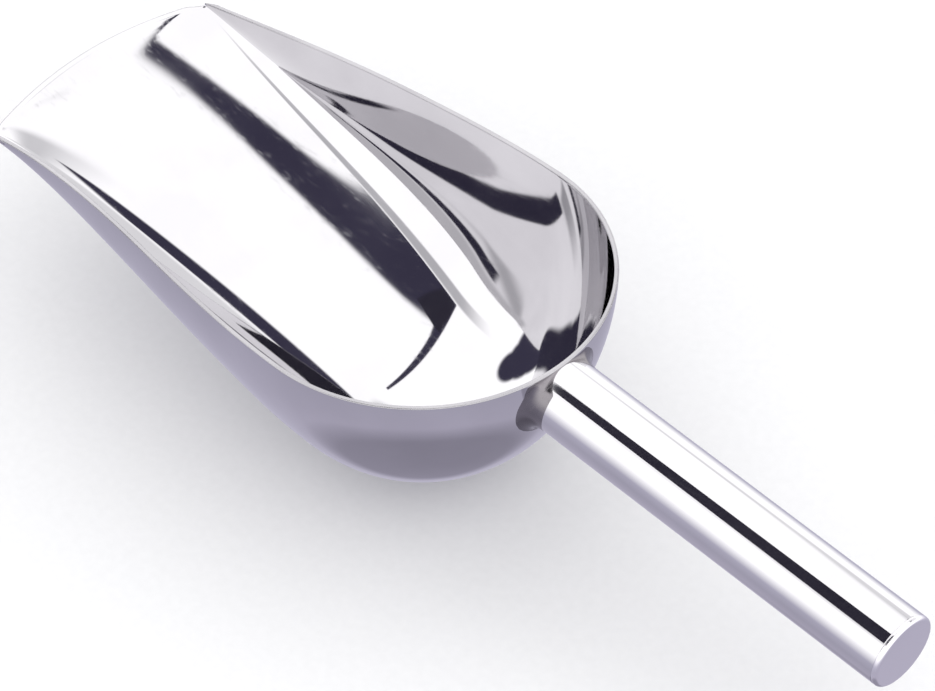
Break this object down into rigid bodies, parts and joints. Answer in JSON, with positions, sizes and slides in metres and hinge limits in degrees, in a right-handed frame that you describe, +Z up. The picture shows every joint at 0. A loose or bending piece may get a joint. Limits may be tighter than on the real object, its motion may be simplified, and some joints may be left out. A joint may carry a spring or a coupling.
{
  "type": "ice scoop",
  "caption": "Hand scoop with a deep, open-fronted pressed steel bowl, domed at the back and narrowing to a bowed lip, welded to a straight round tube handle with a flat closed end.",
  "frame": {"origin": "middle of the base of the bounding box, with the rim of the bowl level", "axes": "+Z up, square to the rim; +X runs the way the handle points, with the lip facing -X; +Y across the bowl"},
  "size_m": [0.2754, 0.094, 0.055],
  "materials": {
    "bowl_steel": "polished, mirror bright inside and out",
    "handle_steel": "polished tube",
    "cap_steel": "fine satin face with a polished edge",
    "weld_steel": "dressed and polished weld"
  },
  "bodies": {
    "root": {"scoop_bowl": "bowl_steel", "handle_tube": "handle_steel", "handle_end_cap": "cap_steel", "handle_weld": "weld_steel"}
  },
  "joints": []
}
